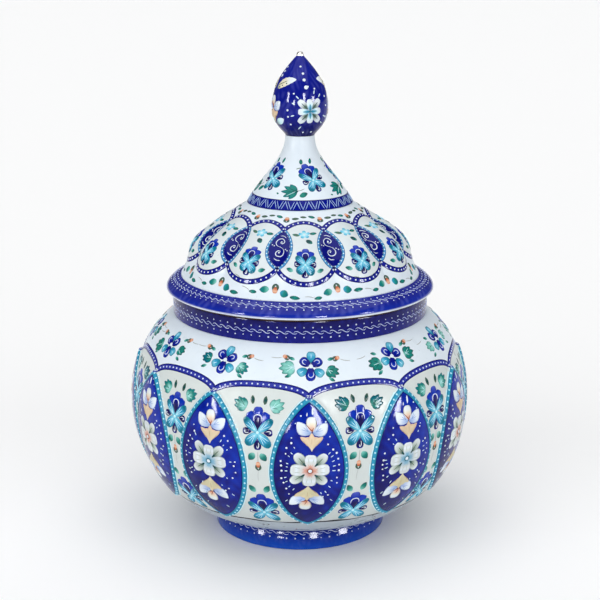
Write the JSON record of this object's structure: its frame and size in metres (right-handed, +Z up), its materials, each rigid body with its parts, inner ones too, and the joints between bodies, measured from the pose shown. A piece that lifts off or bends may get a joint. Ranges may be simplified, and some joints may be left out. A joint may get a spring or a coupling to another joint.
{
  "type": "lidded sugar bowl",
  "caption": "Round enamelled copper sugar bowl with almond bosses, a foot ring and a lift-off domed lid with a spire and bulb finial.",
  "frame": {"origin": "centre of the foot's resting circle, on the surface that the bowl stands on", "axes": "+Z up along the bowl's axis, -Y towards the side that the picture shows"},
  "size_m": [0.1534, 0.1534, 0.2143],
  "materials": {
    "white_enamel": "glossy fired enamel on copper sheet, hand painted",
    "blue_enamel": "glossy fired cobalt enamel on copper, hand painted",
    "bare_copper": "satin, slightly tarnished",
    "bare_brass": "satin"
  },
  "bodies": {
    "bowl": {"foot_ring": "blue_enamel", "bowl_shell": "white_enamel", "neck_collar": "blue_enamel", "mouth_ring": "bare_copper"},
    "lid_seat": {"lid_locating_ring": "bare_copper"},
    "lid": {"lid_rim": "blue_enamel", "lid_dome": "white_enamel", "lid_spire": "white_enamel", "finial_bulb": "blue_enamel", "finial_tip": "bare_brass", "finial_stud": "bare_brass", "stud_washer": "bare_brass", "stud_nut": "bare_brass"}
  },
  "joints": [
    {"name": "lid_lift", "type": "slide", "parent": "bowl", "child": "lid_seat", "axis": [0, 0, 1], "range_m": [0, 0.09]},
    {"name": "lid_turn", "type": "hinge", "parent": "lid_seat", "child": "lid", "pos_m": [0, 0, 0.111], "axis": [0, 0, 1], "continuous": true}
  ]
}
